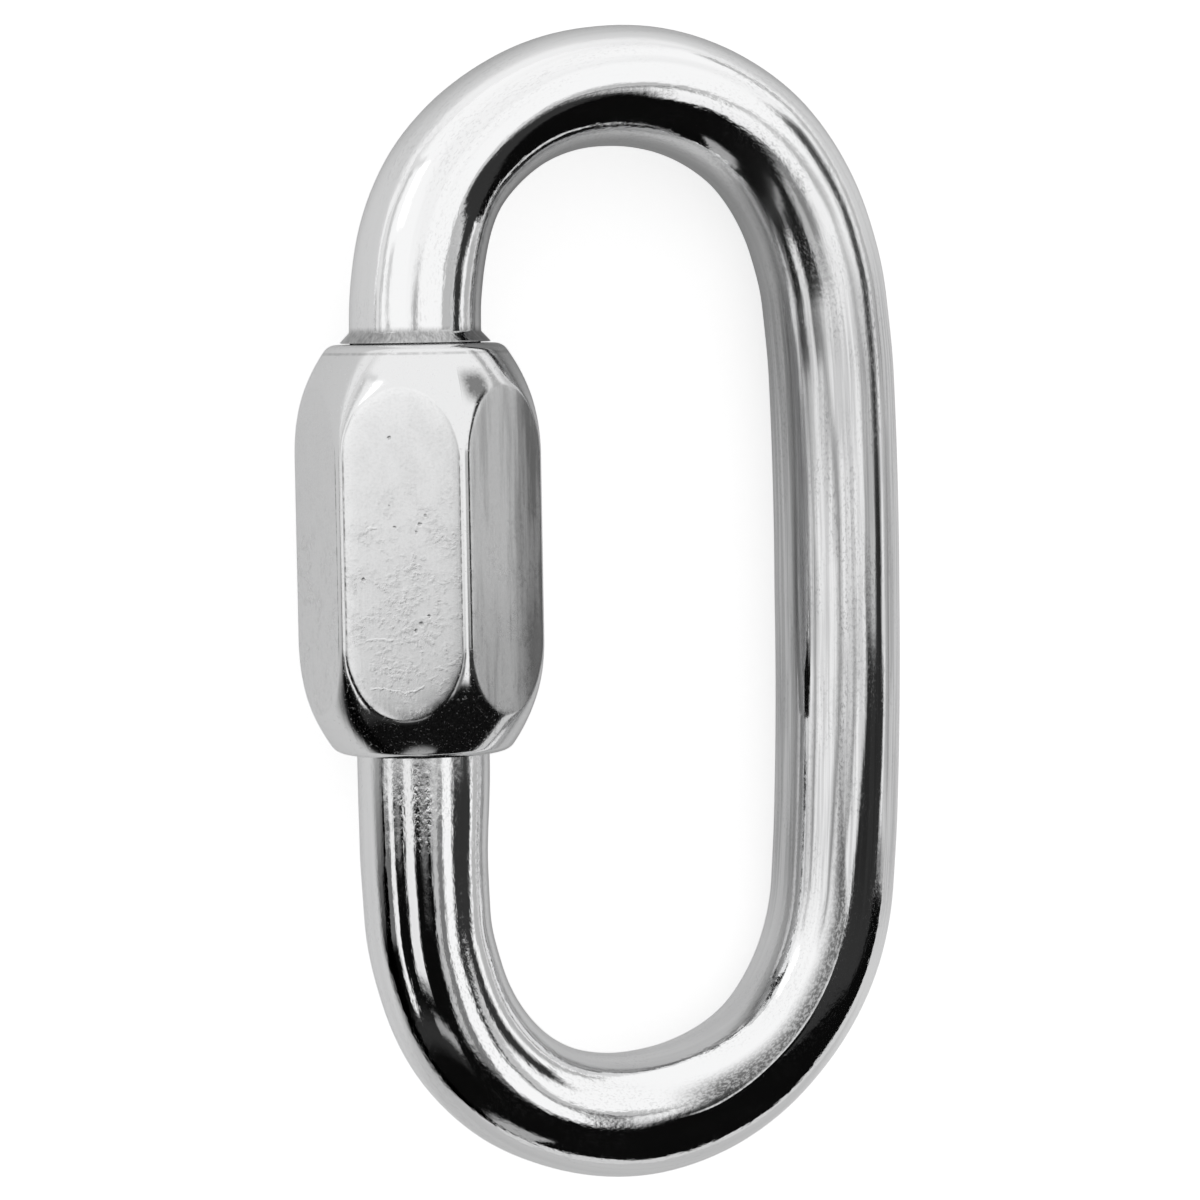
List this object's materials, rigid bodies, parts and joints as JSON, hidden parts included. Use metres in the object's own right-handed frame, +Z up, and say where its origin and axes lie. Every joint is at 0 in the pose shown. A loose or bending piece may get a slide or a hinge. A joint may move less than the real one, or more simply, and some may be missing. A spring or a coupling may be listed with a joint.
{
  "type": "chain quick link",
  "caption": "Oval steel quick link: a bent round rod whose gate is closed by a hexagonal sleeve nut that screws along the leg, joining chain, rope or webbing.",
  "frame": {"origin": "on the floor below the middle of the link's box, with the link lying as it comes to rest", "axes": "+Z up, +Y along the long axis towards the end where the gate opens, -X on the nut's side"},
  "size_m": [0.0492, 0.09, 0.0189],
  "materials": {
    "polished_steel": "bright polished steel rod with light handling marks",
    "satin_steel": "satin flats with small pits and scuffs, polished edges and shoulders"
  },
  "bodies": {
    "link": {"link_body": "polished_steel"},
    "nut": {"sleeve_nut": "satin_steel"}
  },
  "joints": [
    {"name": "nut_travel", "type": "slide", "parent": "link", "child": "nut", "axis": [0, -1, 0], "range_m": [0, 0.015]}
  ]
}
